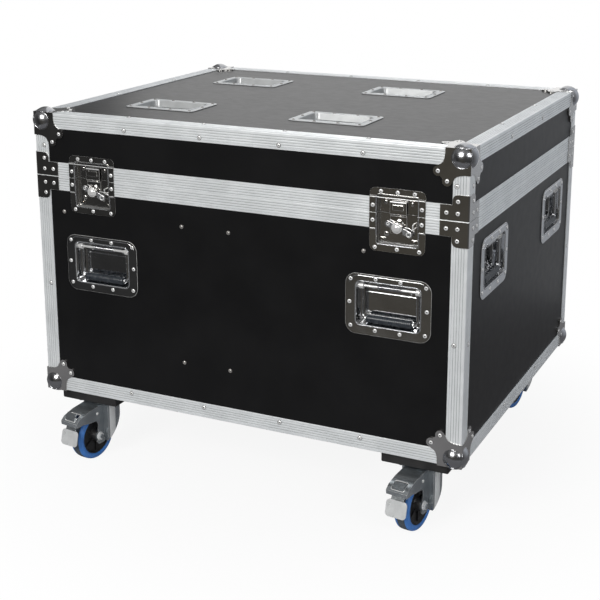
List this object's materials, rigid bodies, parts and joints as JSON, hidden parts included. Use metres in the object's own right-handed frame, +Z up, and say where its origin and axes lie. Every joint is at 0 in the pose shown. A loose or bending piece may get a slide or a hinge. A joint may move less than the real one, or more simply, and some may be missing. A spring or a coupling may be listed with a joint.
{
  "type": "lighting flight case",
  "caption": "Wheeled road case for stage lights: black panels in riveted metal edging, hinged lid with wheel cups, recessed latches and sprung handles, braked casters.",
  "frame": {"origin": "on the floor, under the middle of the whole object, brake pedals and ball corners included", "axes": "+Z up, +X to the right across the latched front, -Y out of the front"},
  "size_m": [1.122, 0.9776, 0.903],
  "materials": {
    "black_laminate": "smooth black laminate on plywood, low sheen",
    "aluminium_profile": "satin, finely ribbed along its length",
    "bright_zinc_plate": "bright plated pressed steel",
    "handle_steel": "plated wire with a smooth sleeve",
    "hinge_steel": "plated, plain",
    "bare_plywood": "bare",
    "black_board": "matt black paint",
    "caster_zinc": "zinc plated, semi-bright",
    "wheel_rubber": "blue elastic rubber, dark tread, black rim",
    "pedal_paint": "light grey"
  },
  "bodies": {
    "case": {"base_wall_panels": "black_laminate", "base_floor_panel": "black_laminate", "base_edging": "aluminium_profile", "base_closing_profile": "aluminium_profile", "ball_corner_bottom_front_left": "bright_zinc_plate", "ball_corner_bottom_front_right": "bright_zinc_plate", "ball_corner_bottom_rear_left": "bright_zinc_plate", "ball_corner_bottom_rear_right": "bright_zinc_plate", "latch_dish_left": "bright_zinc_plate", "latch_dish_right": "bright_zinc_plate", "handle_dish_front_left": "bright_zinc_plate", "handle_dish_front_right": "bright_zinc_plate", "handle_dish_right_front": "bright_zinc_plate", "handle_dish_right_rear": "bright_zinc_plate", "handle_dish_left_front": "bright_zinc_plate", "handle_dish_left_rear": "bright_zinc_plate", "hinge_base_leaf": "hinge_steel", "divider_left": "bare_plywood", "divider_right": "bare_plywood", "caster_mount_front_left": "black_board", "caster_mount_front_right": "black_board", "caster_mount_rear_left": "black_board", "caster_mount_rear_right": "black_board"},
    "lid": {"lid_wall_panels": "black_laminate", "lid_top_panel": "black_laminate", "lid_edging": "aluminium_profile", "lid_closing_profile": "aluminium_profile", "ball_corner_top_front_left": "bright_zinc_plate", "ball_corner_top_front_right": "bright_zinc_plate", "ball_corner_top_rear_left": "bright_zinc_plate", "ball_corner_top_rear_right": "bright_zinc_plate", "latch_keeper_left": "bright_zinc_plate", "latch_keeper_right": "bright_zinc_plate", "wheel_cup_front_left": "bright_zinc_plate", "wheel_cup_front_right": "bright_zinc_plate", "wheel_cup_rear_left": "bright_zinc_plate", "wheel_cup_rear_right": "bright_zinc_plate", "hinge_lid_leaf": "hinge_steel"},
    "latch_hook_left": {"latch_hook_left": "bright_zinc_plate"},
    "latch_hub_left": {"latch_hub_left": "bright_zinc_plate"},
    "latch_wing_left": {"latch_wing_left": "bright_zinc_plate"},
    "latch_hook_right": {"latch_hook_right": "bright_zinc_plate"},
    "latch_hub_right": {"latch_hub_right": "bright_zinc_plate"},
    "latch_wing_right": {"latch_wing_right": "bright_zinc_plate"},
    "handle_grip_front_left": {"handle_grip_front_left": "handle_steel"},
    "handle_grip_front_right": {"handle_grip_front_right": "handle_steel"},
    "handle_grip_right_front": {"handle_grip_right_front": "handle_steel"},
    "handle_grip_right_rear": {"handle_grip_right_rear": "handle_steel"},
    "handle_grip_left_front": {"handle_grip_left_front": "handle_steel"},
    "handle_grip_left_rear": {"handle_grip_left_rear": "handle_steel"},
    "caster_fork_front_left": {"caster_fork_front_left": "caster_zinc"},
    "wheel_front_left": {"wheel_front_left": "wheel_rubber"},
    "caster_fork_front_right": {"caster_fork_front_right": "caster_zinc"},
    "wheel_front_right": {"wheel_front_right": "wheel_rubber"},
    "caster_fork_rear_left": {"caster_fork_rear_left": "caster_zinc"},
    "wheel_rear_left": {"wheel_rear_left": "wheel_rubber"},
    "caster_fork_rear_right": {"caster_fork_rear_right": "caster_zinc"},
    "wheel_rear_right": {"wheel_rear_right": "wheel_rubber"},
    "brake_pedal_front_left": {"brake_pedal_front_left": "pedal_paint"},
    "brake_pedal_front_right": {"brake_pedal_front_right": "pedal_paint"}
  },
  "joints": [
    {"name": "lid_hinge", "type": "hinge", "parent": "case", "child": "lid", "pos_m": [0, 0.4831, 0.73825], "axis": [-1, 0, 0], "range_deg": [0, 100]},
    {"name": "latch_turn_left", "type": "hinge", "parent": "case", "child": "latch_hub_left", "pos_m": [-0.391, -0.4267, 0.712], "axis": [0, 1, 0], "range_deg": [0, 180]},
    {"name": "latch_hook_slide_left", "type": "slide", "parent": "case", "child": "latch_hook_left", "axis": [0, 0, 1], "range_m": [0, 0.008]},
    {"name": "latch_wing_fold_left", "type": "hinge", "parent": "latch_hub_left", "child": "latch_wing_left", "pos_m": [-0.3895, -0.4248, 0.71571], "axis": [-0.9272, 0, 0.3746], "range_deg": [0, 90]},
    {"name": "latch_turn_right", "type": "hinge", "parent": "case", "child": "latch_hub_right", "pos_m": [0.391, -0.4267, 0.712], "axis": [0, 1, 0], "range_deg": [0, 180]},
    {"name": "latch_hook_slide_right", "type": "slide", "parent": "case", "child": "latch_hook_right", "axis": [0, 0, 1], "range_m": [0, 0.008]},
    {"name": "latch_wing_fold_right", "type": "hinge", "parent": "latch_hub_right", "child": "latch_wing_right", "pos_m": [0.3925, -0.4248, 0.71571], "axis": [-0.9272, 0, 0.3746], "range_deg": [0, 90]},
    {"name": "grip_lift_front_left", "type": "hinge", "parent": "case", "child": "handle_grip_front_left", "pos_m": [-0.372, -0.4137, 0.566], "axis": [-1, 0, 0], "range_deg": [0, 90], "stiffness_Nm_per_rad": 0.3, "springref_deg": -20.05},
    {"name": "grip_lift_front_right", "type": "hinge", "parent": "case", "child": "handle_grip_front_right", "pos_m": [0.372, -0.4137, 0.566], "axis": [-1, 0, 0], "range_deg": [0, 90], "stiffness_Nm_per_rad": 0.3, "springref_deg": -20.05},
    {"name": "grip_lift_right_front", "type": "hinge", "parent": "case", "child": "handle_grip_right_front", "pos_m": [0.537, -0.2262, 0.643], "axis": [0, -1, 0], "range_deg": [0, 90], "stiffness_Nm_per_rad": 0.3, "springref_deg": -20.05},
    {"name": "grip_lift_right_rear", "type": "hinge", "parent": "case", "child": "handle_grip_right_rear", "pos_m": [0.537, 0.2778, 0.643], "axis": [0, -1, 0], "range_deg": [0, 90], "stiffness_Nm_per_rad": 0.3, "springref_deg": -20.05},
    {"name": "grip_lift_left_front", "type": "hinge", "parent": "case", "child": "handle_grip_left_front", "pos_m": [-0.537, -0.2262, 0.643], "axis": [0, 1, 0], "range_deg": [0, 90], "stiffness_Nm_per_rad": 0.3, "springref_deg": -20.05},
    {"name": "grip_lift_left_rear", "type": "hinge", "parent": "case", "child": "handle_grip_left_rear", "pos_m": [-0.537, 0.2778, 0.643], "axis": [0, 1, 0], "range_deg": [0, 90], "stiffness_Nm_per_rad": 0.3, "springref_deg": -20.05},
    {"name": "caster_swivel_front_left", "type": "hinge", "parent": "case", "child": "caster_fork_front_left", "pos_m": [-0.4375, -0.3607, 0.1437], "axis": [0, 0, 1], "continuous": true},
    {"name": "wheel_spin_front_left", "type": "hinge", "parent": "caster_fork_front_left", "child": "wheel_front_left", "pos_m": [-0.44293, -0.39932, 0.0625], "axis": [0.9903, -0.1392, 0], "continuous": true},
    {"name": "caster_swivel_front_right", "type": "hinge", "parent": "case", "child": "caster_fork_front_right", "pos_m": [0.4375, -0.3607, 0.1437], "axis": [0, 0, 1], "continuous": true},
    {"name": "wheel_spin_front_right", "type": "hinge", "parent": "caster_fork_front_right", "child": "wheel_front_right", "pos_m": [0.43207, -0.39932, 0.0625], "axis": [0.9903, -0.1392, 0], "continuous": true},
    {"name": "caster_swivel_rear_left", "type": "hinge", "parent": "case", "child": "caster_fork_rear_left", "pos_m": [-0.4375, 0.4123, 0.1437], "axis": [0, 0, 1], "continuous": true},
    {"name": "wheel_spin_rear_left", "type": "hinge", "parent": "caster_fork_rear_left", "child": "wheel_rear_left", "pos_m": [-0.44293, 0.37368, 0.0625], "axis": [0.9903, -0.1392, 0], "continuous": true},
    {"name": "caster_swivel_rear_right", "type": "hinge", "parent": "case", "child": "caster_fork_rear_right", "pos_m": [0.4375, 0.4123, 0.1437], "axis": [0, 0, 1], "continuous": true},
    {"name": "wheel_spin_rear_right", "type": "hinge", "parent": "caster_fork_rear_right", "child": "wheel_rear_right", "pos_m": [0.43207, 0.37368, 0.0625], "axis": [0.9903, -0.1392, 0], "continuous": true},
    {"name": "brake_pedal_rock_front_left", "type": "hinge", "parent": "caster_fork_front_left", "child": "brake_pedal_front_left", "pos_m": [-0.45288, -0.47013, 0.11807], "axis": [-0.9903, 0.1392, 0], "range_deg": [0, 15]},
    {"name": "brake_pedal_rock_front_right", "type": "hinge", "parent": "caster_fork_front_right", "child": "brake_pedal_front_right", "pos_m": [0.42212, -0.47013, 0.11807], "axis": [-0.9903, 0.1392, 0], "range_deg": [0, 15]}
  ],
  "couplings": [
    {"joint": "latch_turn_left", "follows": "latch_hook_slide_left", "rad_per_m": 392.7},
    {"joint": "latch_turn_right", "follows": "latch_hook_slide_right", "rad_per_m": 392.7}
  ]
}
